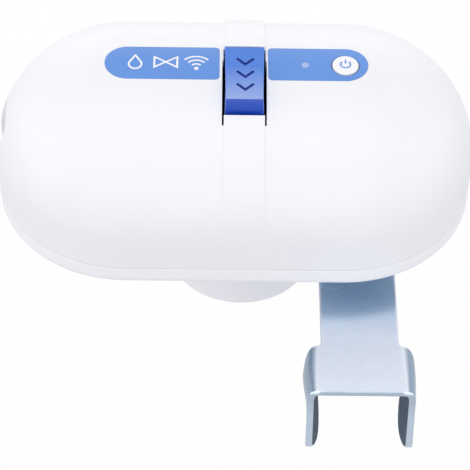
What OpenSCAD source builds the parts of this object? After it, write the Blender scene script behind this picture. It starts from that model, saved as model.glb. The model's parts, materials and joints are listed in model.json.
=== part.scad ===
// Smart valve controller: a motor unit that turns the lever of a hand valve through a quarter turn.
// Origin at the centre of the collar's lower face, X to the right, Y to the back, Z up, millimetres.

/* [Body] */
// Distance between the centres of the two round ends
end_span = 58; // [54:0.5:66]
// How far the middle of the body lies to the left of the collar's axis
body_shift = 2.1; // [0:0.1:4]
// Depth of the body from front to back
body_depth = 71.2; // [68:0.2:80]
// Height of the upright part of the wall, above the underside
wall_h = 15.5; // [14:0.5:22]
// Distance between the centres of the shoulder's arc and the flatter crown's arc
arc_step = 8.8; // [8:0.2:10]
// Wall thickness of the cover
shell = 2.4; // [1.8:0.1:3]
// Height of the base's rim, up to the seam
rim_h = 5.4; // [4:0.1:7]
// Thickness of the base's floor
floor_t = 3; // [2.4:0.1:3.6]
// Bevel along the lower edge of the rim
rim_bevel = 0.8; // [0.3:0.1:1.5]
// Thickness of the gasket in the seam
seam = 0.5; // [0.3:0.05:0.8]
// How far the gasket lies behind the outer face
seam_depth = 0.7; // [0.4:0.1:1.2]
// Height of the base's lip inside the cover
lip_h = 3; // [2:0.5:5]
// Thickness of the base's lip
lip_t = 1.6; // [1.2:0.1:2.4]
// Gap between the base's lip and the cover
lip_gap = 0.2; // [0.15:0.05:0.3]

/* [Collar and socket] */
// Diameter of the collar under the body
collar_d = 40.6; // [38:0.2:41]
// Height of the collar below the body
collar_h = 26.5; // [24:0.5:32]
// Diameter of the socket in the collar
socket_d = 30; // [26:0.5:33]
// Depth of the socket
socket_depth = 21; // [16:0.5:23]
// Bevel round the collar's lower edge
collar_bevel = 0.8; // [0.4:0.1:1.2]

/* [Band and release lever] */
// Width of the raised band
band_w = 10.6; // [9:0.1:12]
// Height of the band above the crown
band_rise = 1.15; // [0.6:0.05:1.6]
// Height above the upright wall at which the band runs out
band_foot = 5; // [3:0.5:8]
// Width of the release lever
lever_w = 10.5; // [9:0.1:11]
// Distance of the lever's back edge behind the crest
lever_back = 4.7; // [3:0.1:6]
// Height of the lever's back edge above the crown
lever_back_rise = 0.86; // [0.5:0.02:1.2]
// Slope of the lever's flat top, rising to the front, in degrees
lever_slope = 3.2; // [1:0.1:6]
// Radius of the lever's front face about its hinge
lever_front_r = 26.6; // [24:0.1:28]
// Height of the lever's block
lever_block_h = 6.4; // [5:0.1:8]
// Clearance round the lever
lever_gap = 0.3; // [0.25:0.05:0.5]
// Width of the two slots beside the band
slot_w = 0.5; // [0.4:0.05:0.9]
// Distance of the slots' front ends ahead of the crest
slot_front = 18.8; // [17:0.1:21]
// Distance of the slots' back ends behind the crest
slot_back = 0.4; // [0:0.1:3]
// Distance of the hinge behind the crest
hinge_y = 9.5; // [8.5:0.1:11]
// Depth of the hinge below the crest
hinge_drop = 7; // [6.4:0.1:8]
// Diameter of the hinge pin
pin_d = 2.5; // [2:0.1:3]
// Wall round the hinge pin
barrel_t = 1.5; // [1.2:0.1:1.9]
// Thickness of the two lugs that hold the pin
lug_t = 2.5; // [2:0.1:3.5]
// Running clearance of a pin or shaft, on the radius
run_gap = 0.05; // [0.02:0.01:0.1]

/* [Release plunger] */
// Distance of the plunger ahead of the crest
plunger_y = 12; // [11:0.1:13]
// Diameter of the plunger
plunger_d = 5; // [4:0.1:5.4]
// Diameter of the plunger's collar
plunger_collar_d = 9; // [8:0.1:9.4]
// Distance of the plunger's collar below its tip
plunger_collar_drop = 4.5; // [4:0.1:6]
// Clearance of the plunger in its guides, on the radius
plunger_gap = 0.15; // [0.1:0.01:0.25]
// Gap between the plunger and the lever above it
tip_gap = 0.3; // [0.25:0.05:0.5]
// Wire of the plunger's spring
spring_wire = 0.7; // [0.5:0.05:0.9]
// Mean diameter of the plunger's spring
spring_d = 7; // [6.6:0.1:7.4]
// Turns of the plunger's spring
spring_turns = 6; // [4:1:7]
// Gap between the spring and its two seats
spring_seat = 0.1; // [0.05:0.05:0.3]

/* [Labels, button and lamp] */
// Half of the labels' height, which is also their end radius
label_r = 6; // [5:0.1:7]
// Distance of the labels' end centres inside the body's end centres
label_set = 0.5; // [0:0.1:2]
// Distance of the left label's inner edge from the band's middle
left_label_in = 6.57; // [6.3:0.01:8]
// Distance of the right label's inner edge from the band's middle
right_label_in = 6.2; // [6.2:0.01:8]
// Distance of the labels' middle line ahead of the crest
label_front = 0.3; // [0:0.1:1]
// Corner radius at the labels' inner edge
label_corner = 1.2; // [0.5:0.1:2]
// Thickness of the labels
label_t = 0.35; // [0.2:0.05:0.6]
// Gap under and round the labels
label_gap = 0.05; // [0.03:0.01:0.1]
// Distance of the set button and the lamp ahead of the crest
controls_front = 0.9; // [0:0.1:2]
// Diameter of the set button
button_d = 6.9; // [6:0.1:8]
// Height of the set button above the crown
button_rise = 0.35; // [0.2:0.05:0.8]
// Clearance round the set button
button_gap = 0.3; // [0.25:0.05:0.5]
// Diameter of the button's flange
button_flange_d = 10; // [9:0.1:11]
// Thickness of the button's flange
button_flange_t = 1.2; // [1:0.1:1.6]
// Diameter of the button's stem
button_stem_d = 4; // [3:0.1:5]
// Free travel between the button and its switch
button_travel = 0.7; // [0.6:0.05:1]
// Distance of the lamp from the band's middle
lamp_x = 15.9; // [14:0.1:17]
// Diameter of the lamp's light guide
lamp_d = 2.1; // [1.6:0.1:2.6]

/* [Power inlet] */
// Width of the recess in the left end
pocket_w = 13.2; // [11:0.1:15]
// Depth of the recess
pocket_depth = 3.2; // [2.6:0.1:4]
// Height of the recess's lower edge above the underside
pocket_low = 10.5; // [10.5:0.5:13]
// Height of the recess's upper edge above the underside
pocket_high = 30; // [27:0.5:32]
// Height of the inlet's axis above the underside
inlet_z = 17; // [15:0.5:19]
// Diameter of the inlet's nose
inlet_nose_d = 8; // [7.4:0.1:9]
// Bore of the inlet
inlet_bore_d = 5.6; // [5:0.1:6]
// Depth of the inlet's bore
inlet_bore_depth = 9.5; // [8:0.5:11]
// Diameter of the inlet's centre pin
inlet_pin_d = 2; // [1.6:0.1:2.5]
// Width of the inlet's body
inlet_w = 9; // [8:0.5:11]
// Height of the inlet's body
inlet_h = 11; // [10:0.5:13]
// Length of the inlet's body
inlet_len = 12; // [11:0.5:13]

/* [Output and fork] */
// Distance of the output's axis to the right of the collar's axis
drive_x = 31.6; // [31.2:0.1:34]
// Depth of the fork's top face below the body
fork_drop = 8.2; // [8:0.1:14]
// Width of the fork's arm
arm_w = 20.9; // [18:0.1:21]
// Length of the arm from the output's axis to its front edge
arm_len = 65.5; // [60:0.5:75]
// Thickness of the fork's sheet
sheet_t = 1.8; // [1.5:0.1:2.5]
// How far the fork is wider than its arm before the bends, on each side
ear_step = 1.3; // [0:0.1:3]
// Outer radius of the fork's bends
bend_r = 2.6; // [2.3:0.1:5]
// Height of the fork's ears, from the top face down
ear_h = 25.1; // [20:0.1:30]
// Length of the fork's ears along the arm
ear_len = 15.8; // [12:0.1:18]
// How far the lower back corners of the ears lean towards each other
ear_lean = 2; // [0:0.1:3]
// Corner radius at the back of the ears
ear_back_r = 7; // [3:0.5:8]
// Corner radius at the front of the ears
ear_front_r = 2; // [1:0.5:4]
// Diameter of the shaft's flange
flange_d = 20; // [19:0.1:20.6]
// Diameter of the shaft's journal
journal_d = 12; // [11:0.1:12.5]
// Diameter of the shaft's gear seat
seat_d = 8; // [7:0.1:9]
// Outer diameter of the bush
bush_d = 15; // [14.5:0.1:16]
// Length of the bush
bush_len = 5.2; // [4:0.1:5.4]
// Outer diameter of the bearing boss
boss_d = 22; // [20:0.1:23]
// Depth of the bearing boss below the body
boss_drop = 4.5; // [4:0.1:5]
// Height of the bearing boss above the floor
boss_rise = 0.8; // [0.5:0.1:1]
// Thickness of the shaft seal
seal_t = 1.8; // [1.4:0.1:2]
// How far the seal lies inside the boss's lower face
seal_inset = 0.6; // [0.3:0.1:0.8]
// Pitch circle of the fork's screws
fork_pcd = 14; // [13:0.1:15]
// Number of the fork's screws
fork_screw_count = 3; // [3:1:4]

/* [Gear train] */
// Teeth of the motor's pinion
pinion_teeth = 12; // [12:1:14]
// Teeth of the first wheel
first_wheel_teeth = 48; // [46:1:50]
// Module of the first pair
first_module = 0.7; // [0.65:0.01:0.75]
// Teeth of the first gear's pinion
first_pinion_teeth = 14; // [13:1:15]
// Teeth of the second wheel
second_wheel_teeth = 42; // [40:1:44]
// Module of the second pair
second_module = 0.8; // [0.75:0.01:0.85]
// Teeth of the second gear's pinion
second_pinion_teeth = 14; // [13:1:15]
// Teeth of the output gear
output_teeth = 36; // [34:1:38]
// Module of the last pair
output_module = 1; // [0.95:0.01:1.05]
// Play between meshing teeth, on the pitch circle
backlash = 0.2; // [0.15:0.01:0.3]
// Diameter of the gear axles
axle_d = 3; // [2.5:0.1:3.5]
// Width of the output gear
output_gear_t = 5; // [4:0.1:5.4]
// Width of the second wheel
second_wheel_t = 3; // [2.5:0.1:3.4]
// Width of the first wheel
first_wheel_t = 2.6; // [2:0.1:3]
// Gap between gear layers
layer_gap = 0.6; // [0.4:0.05:0.8]
// Gap between a turning face and a fixed one
face_gap = 0.3; // [0.2:0.05:0.4]
// Gap between the first wheel and the gear plate
plate_gap = 1; // [0.8:0.1:1.2]
// Thickness of the gear plate
plate_t = 2; // [1.5:0.1:2.5]
// Distance of the plate's left edge from the motor's axis
plate_left = 13; // [12.5:0.1:14]
// Distance of the plate's right edge from the output's axis
plate_right = 9; // [8:0.1:10]
// Distance of the plate's front edge ahead of the plunger's axis
plate_front = 7.5; // [7:0.1:8]
// Distance of the plate's back edge from the middle plane
plate_back = 28; // [27.5:0.1:28.5]
// Corner radius of the plate
plate_corner = 4; // [2:0.5:6]
// Side of the plate's square tongue over the right position switch
tongue = 16; // [14:0.5:17]
// Diameter of the motor
motor_d = 24.4; // [20:0.1:25]
// Gap between the motor's cap and the cover
motor_gap = 2.88; // [1:0.02:6]
// Thickness of the motor's cap
motor_cap_t = 1.4; // [1:0.1:2]
// Diameter of the motor's shaft
motor_shaft_d = 2; // [1.5:0.1:2.5]
// Diameter of the motor's centring boss
motor_boss_d = 6; // [5:0.1:6.5]
// Length of the motor's two screws inside its can
motor_screw_grip = 2.6; // [2:0.1:2.8]
// Radius of the position cam
cam_r = 7; // [6.4:0.1:7.5]
// Rise of the cam's lobe
cam_rise = 1.6; // [1:0.1:2]
// Thickness of the position cam
cam_t = 2.2; // [1.6:0.1:2.4]
// Length of the position switches
switch_len = 12.8; // [10:0.1:13]
// Width of the position switches
switch_w = 6.4; // [5:0.1:6.6]
// Height of the position switches
switch_t = 3.8; // [3:0.1:4]

/* [Electronics] */
// Height of the board's lower face above the underside
board_z = 31; // [30:0.5:32]
// Thickness of the board
board_t = 1.6; // [1:0.1:2]
// Half of the board's width
board_r = 17; // [16:0.5:18]
// Distance of the board's left edge from the band's middle
board_left = 9; // [8:0.5:10]

/* [Fasteners] */
// Thread diameter of the screws
screw_d = 3; // [2.5:0.1:3.2]
// Head diameter of the screws
screw_head_d = 5.6; // [5:0.1:6]
// Head height of the screws
screw_head_t = 1.8; // [1.4:0.1:2]
// Diameter of the bosses for the screws
screw_boss_d = 6.6; // [6:0.1:7.2]
// Gap round a screw, on the radius
screw_gap = 0.05; // [0.03:0.01:0.1]
// Distance of the cover screws inside the body's ends
cover_screw_x = 15.5; // [15.4:0.1:18]
// Distance of the cover screws inside the body's front and back
cover_screw_y = 16.4; // [16.3:0.1:18]
// Length of the cover screws inside the cover
cover_screw_grip = 9; // [7:0.5:10]
// Extra diameter of the base's holes for the cover screws
hole_clear = 0.4; // [0.3:0.05:0.6]
// Thread diameter of the small screws
small_screw_d = 2; // [1.6:0.1:2.3]
// Head diameter of the small screws
small_head_d = 3.8; // [3.2:0.1:4]
// Head height of the small screws
small_head_t = 1.2; // [0.8:0.1:1.2]
// Length of the small screws inside the part they hold to
small_screw_grip = 5; // [4:0.5:5.5]

/* [Hidden] */
$fn = 64;
eps = 0.01;
big = 200;

// Body outline
body_r = body_depth / 2;
left_x = -end_span / 2 - body_shift;
right_x = end_span / 2 - body_shift;
arc_dir = [0.6, 0.8];
shoulder_at = [arc_step * arc_dir[0], wall_h];
crown_at = [0, wall_h - arc_step * arc_dir[1]];
shoulder_r = body_r - shoulder_at[0];
crown_r = shoulder_r + arc_step;
crest = crown_at[1] + crown_r;
lip_r = body_r - shell - lip_gap;

// Lever and hinge
hinge_z = crest - hinge_drop;
barrel_r = pin_d / 2 + barrel_t;
lever_under = crest + lever_back_rise - lever_block_h;
lug_in = band_w / 2 + slot_w;

// Gear layers, as heights above the underside
boss_top = floor_t + boss_rise;
output_gear_z = boss_top + face_gap;
second_wheel_z = output_gear_z + output_gear_t + layer_gap;
first_wheel_z = second_wheel_z + second_wheel_t + layer_gap;
plate_z = first_wheel_z + first_wheel_t + plate_gap;
plate_top = plate_z + plate_t;
motor_len = crest - shell - motor_gap - motor_cap_t - plate_top;

// Gear centres, from the pitch circles
pressure_angle = 25;
motor_at = [left_x, 0];
output_at = [drive_x, 0];
first_reach = first_module * (pinion_teeth + first_wheel_teeth) / 2;
second_reach = second_module * (first_pinion_teeth + second_wheel_teeth) / 2;
output_reach = output_module * (second_pinion_teeth + output_teeth) / 2;
second_angle = 163;
second_at = output_at + output_reach * [cos(second_angle), sin(second_angle)];
gear_line = second_at - motor_at;
gear_span = norm(gear_line);
along = (pow(first_reach, 2) - pow(second_reach, 2) + pow(gear_span, 2)) / (2 * gear_span);
aside = sqrt(pow(first_reach, 2) - pow(along, 2));
gear_dir = gear_line / gear_span;
first_at = motor_at + along * gear_dir + aside * [-gear_dir[1], gear_dir[0]];

// Plate outline and posts
plate_low = [left_x - plate_left, -plunger_y - plate_front];
plate_high = [drive_x + plate_right, plate_back];
post_d = 6;
posts = [[left_x + 9, -13], [12, -16], [left_x - 5, 15], [28, 24]];
motor_screw_r = 8;
motor_screw_angle = 120;
boss_gap = 0.1;

// Electronics
board_top = board_z + board_t;
button_at = [right_x - label_set, -controls_front];
lamp_at = [lamp_x, -controls_front];
led_size = [2.8, 2, 1.6];
radio_low = [lamp_x + 1, -board_r + 3];
radio_size = [18, 8, 2.6];
switch_h = 3.5;
switch_nub = 0.8;
switch_top = board_top + switch_h + switch_nub;
board_posts = [[13, 12.5], [13, -12.5], [right_x + 12, 0]];
board_post_d = 5;

// Screws of the cover
cover_screw_at = [for (end = [left_x - body_r + cover_screw_x, right_x + body_r - cover_screw_x],
                       side = [-1, 1]) [end, side * (body_r - cover_screw_y)]];
pad_top = boss_top;
pad_d = screw_head_d + 4;
head_room = 0.2;

// Inlet
pocket_x = left_x - body_r + pocket_depth;

// Plunger and spring
plunger_tip = lever_under - tip_gap;
plunger_collar_z = plunger_tip - plunger_collar_drop;
plunger_collar_t = 1.5;
plunger_low = socket_depth - collar_h + 0.5;
spring_low = plate_top + spring_seat;
spring_high = plunger_collar_z - spring_seat;
spring_steps = 8;
spring_sides = 6;
spring_rise = spring_high - spring_low - spring_wire;
spring_rings = spring_turns * spring_steps;

// Cam, clip and top of the output shaft
cam_low = second_wheel_z + second_wheel_t + 0.4;
clip_low = cam_low + cam_t;
clip_t = 0.8;
clip_d = seat_d + 3;
shaft_top = clip_low + clip_t + 0.2;
fork_hole_top = -boss_drop - face_gap - 0.3;

// Half of the dome's section: upright wall, shoulder arc and crown arc, with an even inset.
// The two arcs part at the line through their centres, where they are tangent. That line has a
// direction of round numbers, so that the arcs end in the same point.
module half_section(inset = 0) {
    far = crown_at + big * arc_dir;
    square([body_r - inset, wall_h]);
    intersection() {
        translate(shoulder_at) circle(r = shoulder_r - inset);
        polygon([shoulder_at, [big, wall_h], [big, far[1]], far]);
    }
    intersection() {
        translate(crown_at) circle(r = crown_r - inset);
        polygon([crown_at, far, [0, far[1]]]);
    }
}

// Carries a half section round both ends and along the middle of the body
module around_body() {
    translate([left_x, 0, collar_h]) rotate(90) rotate_extrude(angle = 180) children();
    translate([right_x, 0, collar_h]) rotate(-90) rotate_extrude(angle = 180) children();
    translate([left_x, 0, collar_h]) rotate([90, 0, 90]) linear_extrude(end_span) {
        children();
        mirror([1, 0]) children();
    }
}

module dome(inset = 0) {
    around_body() half_section(inset);
}

// A ring or slab with the body's outline, from one height to another
module slab(r_out, r_in, low, high) {
    around_body() translate([r_in, low]) square([r_out - r_in, high - low]);
}

module post(at, d, low, high) {
    translate([at[0], at[1], collar_h + low]) cylinder(d = d, h = high - low);
}

// A box given by two corners, with heights above the underside
module block(low, high) {
    translate([low[0], low[1], collar_h + low[2]]) cube(high - low);
}

// Screw with its head at the low end and its shank pointing up, or the other way round
module screw(at, z, shank, head_d, head_t, length, turned = false) {
    translate([at[0], at[1], collar_h + z]) mirror([0, 0, turned ? 1 : 0]) {
        difference() {
            cylinder(d = head_d, h = head_t);
            translate([0, 0, -eps]) cylinder(d = head_d * 0.5, h = head_t * 0.6, $fn = 6);
        }
        translate([0, 0, head_t - eps]) cylinder(d = shank, h = length + eps);
    }
}

module rounded_square(low, high, r) {
    translate([low[0], low[1] + r]) square([high[0] - low[0], high[1] - low[1] - 2 * r]);
    translate([low[0] + r, low[1]]) square([high[0] - low[0] - 2 * r, high[1] - low[1]]);
    for (x = [low[0] + r, high[0] - r], y = [low[1] + r, high[1] - r]) translate([x, y]) circle(r);
}

// Angle between the tooth's middle and its flank at a radius
function roll_angle(r, base) = r <= base ? 0 : sqrt(pow(r / base, 2) - 1) * 180 / PI - acos(base / r);
function flank_angle(r, teeth, pitch_r) = 90 / teeth - backlash / 2 / pitch_r * 90 / PI
    + roll_angle(pitch_r, pitch_r * cos(pressure_angle)) - roll_angle(r, pitch_r * cos(pressure_angle));
function gear_radii(pitch_r, mod) =
    let (root = pitch_r - 1.15 * mod, tip = pitch_r + 0.85 * mod,
         base = max(pitch_r * cos(pressure_angle), root + 0.05 * mod))
    [root, base, base + (tip - base) / 3, base + (tip - base) * 2 / 3, tip];
function polar(r, a) = r * [cos(a), sin(a)];

module gear_outline(teeth, mod, turn) {
    pitch_r = teeth * mod / 2;
    radii = gear_radii(pitch_r, mod);
    rotate(turn) polygon([for (tooth = [0 : teeth - 1]) each concat(
        [for (r = radii) polar(r, tooth * 360 / teeth - flank_angle(r, teeth, pitch_r))],
        [for (i = [len(radii) - 1 : -1 : 0])
            polar(radii[i], tooth * 360 / teeth + flank_angle(radii[i], teeth, pitch_r))])]);
}

module gear(at, teeth, mod, turn, low, width) {
    translate([at[0], at[1], collar_h + low]) linear_extrude(width) gear_outline(teeth, mod, turn);
}

function direction(from, to) = atan2(to[1] - from[1], to[0] - from[0]);
function gap_turn(from, to, teeth) = direction(from, to) + 180 / teeth;

// Raised band over the dome, running out near the top of the upright wall
module band() {
    intersection() {
        translate([-band_w / 2, 0, collar_h]) rotate([90, 0, 90]) linear_extrude(band_w)
            translate([0, band_rise]) {
                half_section();
                mirror([1, 0]) half_section();
            }
        block([-band_w, -big, wall_h + band_foot], [band_w, big, crest + band_rise + 1]);
    }
}

module lever_space() {
    intersection() {
        block([-lever_w / 2 - lever_gap, -big, lever_under - 2],
              [lever_w / 2 + lever_gap, lever_back + lever_gap, big]);
        translate([0, hinge_y, collar_h + hinge_z]) rotate([0, 90, 0])
            cylinder(r = lever_front_r + lever_gap, h = big, center = true);
    }
    for (side = [0, 1]) mirror([side, 0, 0])
        block([band_w / 2, -slot_front, lever_under - 6], [band_w / 2 + slot_w, slot_back, crest + 5]);
}

module label_outline(side, grow = 0) {
    inner = side < 0 ? left_label_in : right_label_in;
    outer = side < 0 ? -left_x - label_set : right_x - label_set;
    mirror([side < 0 ? 1 : 0, 0]) {
        translate([outer, 0]) circle(r = label_r + grow);
        rounded_square([inner - grow, -label_r - grow], [outer, label_r + grow], label_corner);
        translate([inner + 2 * label_corner, -label_r - grow])
            square([outer - inner - 2 * label_corner, 2 * (label_r + grow)]);
    }
}

module label_prism(side, grow = 0) {
    translate([0, -label_front, collar_h + crest - 6]) linear_extrude(12) label_outline(side, grow);
}

module label(side) {
    intersection() {
        difference() {
            dome();
            dome(label_t);
        }
        label_prism(side);
    }
}

module hinge_lugs() {
    intersection() {
        for (side = [0, 1]) mirror([side, 0, 0])
            block([lug_in, hinge_y - barrel_r, hinge_z - barrel_r],
                  [lug_in + lug_t, hinge_y + barrel_r, crest]);
        dome(shell / 2);
    }
}

module inlet_pad() {
    intersection() {
        block([pocket_x - pocket_depth, -pocket_w / 2 - shell, rim_h + lip_h + lip_gap],
              [pocket_x + shell, pocket_w / 2 + shell, pocket_high + shell]);
        dome(shell / 2);
    }
}

module upper_cover() {
    color("white") difference() {
        union() {
            difference() {
                dome();
                dome(shell);
                slab(body_r + 1, 0, -1, rim_h + seam);
            }
            difference() {
                band();
                dome(shell / 2);
            }
            hinge_lugs();
            inlet_pad();
            intersection() {
                union() {
                    for (at = cover_screw_at) post(at, screw_boss_d, pad_top, crest);
                    for (at = board_posts) post(at, board_post_d, board_top, crest);
                }
                dome(shell / 2);
            }
        }
        lever_space();
        for (side = [-1, 1]) difference() {
            label_prism(side, label_gap);
            dome(label_t + label_gap);
        }
        post(button_at, button_d + 2 * button_gap, board_top, crest + 2);
        post(lamp_at, lamp_d + 2 * label_gap, board_top, crest + 2);
        block([pocket_x - big, -pocket_w / 2, pocket_low], [pocket_x, pocket_w / 2, pocket_high]);
        translate([pocket_x - 1, 0, collar_h + inlet_z]) rotate([0, 90, 0])
            cylinder(d = inlet_nose_d + 2 * label_gap, h = shell + 2);
        translate([0, hinge_y, collar_h + hinge_z]) rotate([0, 90, 0])
            cylinder(d = pin_d + 2 * screw_gap, h = 2 * (lug_in + lug_t + 1), center = true);
        for (at = cover_screw_at)
            post(at, screw_d + 2 * screw_gap, pad_top - 1, pad_top + cover_screw_grip + 2);
        for (at = board_posts)
            post(at, small_screw_d + 2 * screw_gap, board_top - 1, board_top + small_screw_grip + 1);
    }
}

module lower_base() {
    color("whitesmoke") difference() {
        union() {
            around_body() polygon([[0, 0], [body_r - rim_bevel, 0], [body_r, rim_bevel], [body_r, rim_h],
                                   [lip_r, rim_h], [lip_r, rim_h + lip_h], [lip_r - lip_t, rim_h + lip_h],
                                   [lip_r - lip_t, floor_t], [0, floor_t]]);
            rotate_extrude() polygon([[0, 0], [collar_d / 2 - collar_bevel, 0], [collar_d / 2, collar_bevel],
                                      [collar_d / 2, collar_h + 1], [0, collar_h + 1]]);
            post(output_at, boss_d, -boss_drop, boss_top);
            for (at = posts) post(at, post_d, floor_t - 1, plate_z);
            intersection() {
                for (at = cover_screw_at) post(at, pad_d, floor_t - 1, pad_top);
                slab(lip_r, 0, 0, pad_top);
            }
            post(first_at, post_d, floor_t - 1, second_wheel_z - face_gap);
        }
        translate([0, 0, -1]) cylinder(d = socket_d, h = socket_depth + 1);
        post([0, -plunger_y], plunger_d + 2 * plunger_gap, -collar_h, floor_t + 1);
        post(output_at, bush_d, -boss_drop - 1, boss_top + 1);
        for (at = cover_screw_at) {
            post(at, screw_head_d + hole_clear, -1, screw_head_t + head_room);
            post(at, screw_d + hole_clear, 0, pad_top + 1);
        }
        for (at = posts)
            post(at, small_screw_d + 2 * screw_gap, plate_z - small_screw_grip - 2, plate_z + 1);
        for (at = [first_at, second_at]) post(at, axle_d, 1, boss_top + second_wheel_z);
    }
}

module cover_gasket() {
    color("dimgray") slab(body_r - seam_depth, lip_r + lip_gap, rim_h, rim_h + seam);
}

module cover_screws() {
    color("silver") for (at = cover_screw_at)
        screw(at, head_room, screw_d, screw_head_d, screw_head_t,
              pad_top + cover_screw_grip - screw_head_t);
}

module left_label() {
    color("cornflowerblue") label(-1);
}

module right_label() {
    color("cornflowerblue") difference() {
        label(1);
        post(button_at, button_d + 2 * button_gap, board_top, crest + 2);
        post(lamp_at, lamp_d + 2 * label_gap, board_top, crest + 2);
    }
}

module indicator_lens() {
    low = board_top + led_size[2] + 0.4;
    foot_d = lamp_d + 1.6;
    foot_t = 1.5;
    color("aliceblue") {
        post(lamp_at, lamp_d, low, crest - label_gap);
        post(lamp_at, foot_d, low, low + foot_t);
    }
}

module set_button() {
    flange_top = crest - shell - 0.6;
    flange_low = flange_top - button_flange_t;
    top = crest + button_rise;
    edge = 0.3;
    color("white") translate([button_at[0], button_at[1], collar_h]) rotate_extrude() polygon([
        [0, switch_top + button_travel], [button_stem_d / 2, switch_top + button_travel],
        [button_stem_d / 2, flange_low], [button_flange_d / 2, flange_low],
        [button_flange_d / 2, flange_top], [button_d / 2, flange_top],
        [button_d / 2, top - edge], [button_d / 2 - edge, top], [0, top]]);
}

module release_lever() {
    front_top = crest + lever_back_rise + (lever_back + big) * tan(lever_slope);
    top_arm = hinge_z + barrel_r - 0.1;
    color("royalblue") translate([-lever_w / 2, 0, collar_h]) rotate([90, 0, 90]) linear_extrude(lever_w)
        difference() {
            intersection() {
                union() {
                    polygon([[lever_back, crest + lever_back_rise], [-big, front_top], [-big, lever_under],
                             [lever_back - 2, lever_under], [hinge_y, hinge_z - barrel_r], [hinge_y, top_arm],
                             [lever_back, top_arm]]);
                    translate([hinge_y, hinge_z]) circle(barrel_r);
                }
                translate([hinge_y, hinge_z]) circle(lever_front_r);
            }
            translate([hinge_y, hinge_z]) circle(d = pin_d + 2 * run_gap);
        }
}

module lever_pin() {
    color("silver") translate([0, hinge_y, collar_h + hinge_z]) rotate([0, 90, 0])
        cylinder(d = pin_d, h = 2 * (lug_in + lug_t), center = true);
}

module release_plunger() {
    tip_centre = plunger_tip - plunger_d / 2;
    color("gainsboro") translate([0, -plunger_y, collar_h]) rotate_extrude() {
        intersection() {
            union() {
                translate([0, plunger_low]) square([plunger_d / 2, tip_centre - plunger_low]);
                translate([0, tip_centre]) circle(d = plunger_d);
            }
            translate([0, plunger_low]) square([plunger_d, plunger_tip - plunger_low]);
        }
        translate([0, plunger_collar_z]) square([plunger_collar_d / 2, plunger_collar_t]);
    }
}

// One unbroken helix of wire, with its least gap between turns printed
function spring_point(i) =
    [spring_d / 2 * cos(i * 360 / spring_steps), spring_d / 2 * sin(i * 360 / spring_steps) - plunger_y,
     collar_h + spring_low + spring_wire / 2 + spring_rise * i / spring_rings];
function spring_ring(i) =
    let (out = [cos(i * 360 / spring_steps), sin(i * 360 / spring_steps), 0])
    [for (k = [0 : spring_sides - 1]) spring_point(i)
        + spring_wire / 2 * (cos(k * 360 / spring_sides) * out + sin(k * 360 / spring_sides) * [0, 0, 1])];
echo(spring_gap = min([for (i = [0 : spring_rings], j = [i + spring_steps / 2 : spring_rings])
                       norm(spring_point(i) - spring_point(j))]) - spring_wire);

module plunger_spring() {
    last = spring_rings * spring_sides;
    color("silver") polyhedron(
        points = [for (i = [0 : spring_rings]) each spring_ring(i)],
        faces = concat(
            [for (k = [1 : spring_sides - 2]) [0, k, k + 1]],
            [for (k = [1 : spring_sides - 2]) [last, last + k + 1, last + k]],
            [for (i = [0 : spring_rings - 1], k = [0 : spring_sides - 1])
                let (a = i * spring_sides + k, b = i * spring_sides + (k + 1) % spring_sides)
                each [[a, a + spring_sides, b], [b, a + spring_sides, b + spring_sides]]]));
}

module control_board() {
    color("seagreen") difference() {
        translate([0, 0, collar_h + board_z]) linear_extrude(board_t) {
            translate([board_left, -board_r]) square([right_x - board_left, 2 * board_r]);
            translate([right_x, 0]) circle(board_r);
        }
        for (at = board_posts) post(at, small_screw_d + 2 * screw_gap, board_z - 1, board_top + 1);
    }
}

module board_screws() {
    color("silver") for (at = board_posts)
        screw(at, board_z - small_head_t, small_screw_d, small_head_d, small_head_t,
              board_t + small_screw_grip);
}

module tact_switch() {
    half = 3;
    nub_d = 3.4;
    color("dimgray") {
        block([button_at[0] - half, button_at[1] - half, board_top],
              [button_at[0] + half, button_at[1] + half, board_top + switch_h]);
        post(button_at, nub_d, board_top + switch_h - eps, switch_top);
    }
}

module status_led() {
    low = [lamp_at[0] - led_size[0] / 2, lamp_at[1] - led_size[1] / 2, board_top];
    color("white") block(low, low + led_size);
}

module radio_module() {
    color("dimgray") translate([radio_low[0], radio_low[1], collar_h + board_top]) cube(radio_size);
}

module dc_inlet() {
    color("black") translate([pocket_x, 0, collar_h + inlet_z]) difference() {
        union() {
            rotate([0, 90, 0]) cylinder(d = inlet_nose_d, h = shell + 1);
            translate([shell, -inlet_w / 2, -inlet_h / 2]) cube([inlet_len, inlet_w, inlet_h]);
        }
        difference() {
            translate([-1, 0, 0]) rotate([0, 90, 0]) cylinder(d = inlet_bore_d, h = inlet_bore_depth + 1);
            translate([1, 0, 0]) rotate([0, 90, 0]) cylinder(d = inlet_pin_d, h = inlet_bore_depth);
        }
    }
}

module motor() {
    boss_t = plate_t - 2 * boss_gap;
    hole_depth = motor_screw_grip + 0.4;
    cap_d = 8;
    shaft_depth = 1.5;
    color("silver") {
        difference() {
            post(motor_at, motor_d, plate_top, plate_top + motor_len);
            for (turn = [0, 180]) post(motor_at + polar(motor_screw_r, motor_screw_angle + turn),
                                       small_screw_d + 2 * screw_gap, plate_top - 1, plate_top + hole_depth);
            post(motor_at, motor_shaft_d + 2 * run_gap, plate_top - 1, plate_top + shaft_depth);
        }
        difference() {
            post(motor_at, motor_boss_d, plate_top - boss_t, plate_top + eps);
            post(motor_at, motor_shaft_d + 2 * run_gap, plate_z - 1, plate_top + 1);
        }
        post(motor_at, cap_d, plate_top + motor_len - eps, plate_top + motor_len + motor_cap_t);
    }
}

module motor_screws() {
    color("silver") for (turn = [0, 180])
        screw(motor_at + polar(motor_screw_r, motor_screw_angle + turn), plate_z - small_head_t,
              small_screw_d, small_head_d, small_head_t, plate_t + motor_screw_grip);
}

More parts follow.
